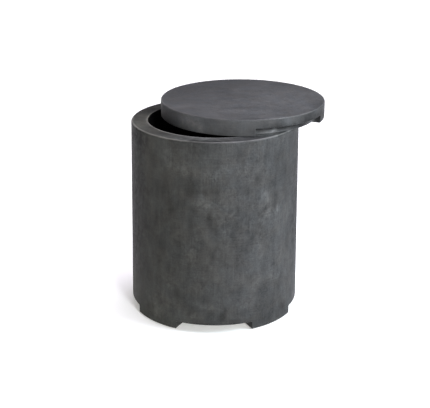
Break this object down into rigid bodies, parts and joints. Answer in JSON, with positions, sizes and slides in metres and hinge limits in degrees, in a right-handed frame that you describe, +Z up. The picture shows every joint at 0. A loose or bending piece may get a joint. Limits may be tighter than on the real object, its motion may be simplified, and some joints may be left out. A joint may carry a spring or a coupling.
{
  "type": "propane tank cover table",
  "caption": "Round cast concrete side table that hides a gas bottle: an open sleeve on feet with gaps for the hose, closed by a loose slab top with hand-holds.",
  "frame": {"origin": "on the floor, at the middle of the space that the whole table takes up in plan with its slab pushed aside; the sleeve's axis is 32.4 mm to the left of it and 18.9 mm in front of it", "axes": "+Z up along the sleeve's axis; -Y is the front, where the picture is taken from; +X is the right"},
  "size_m": [0.5064, 0.4794, 0.5498],
  "materials": {
    "sleeve_concrete": "matte",
    "lid_concrete": "satin",
    "pad_rubber": "matte"
  },
  "bodies": {
    "base": {"sleeve": "sleeve_concrete", "foot_pad_1": "pad_rubber", "foot_pad_2": "pad_rubber", "foot_pad_3": "pad_rubber", "foot_pad_4": "pad_rubber"},
    "lid": {"lid": "lid_concrete"}
  },
  "joints": [
    {"name": "lid_slide", "type": "slide", "parent": "base", "child": "lid", "axis": [0.848, 0.5299, 0], "range_m": [-0.085, 0.087]}
  ]
}
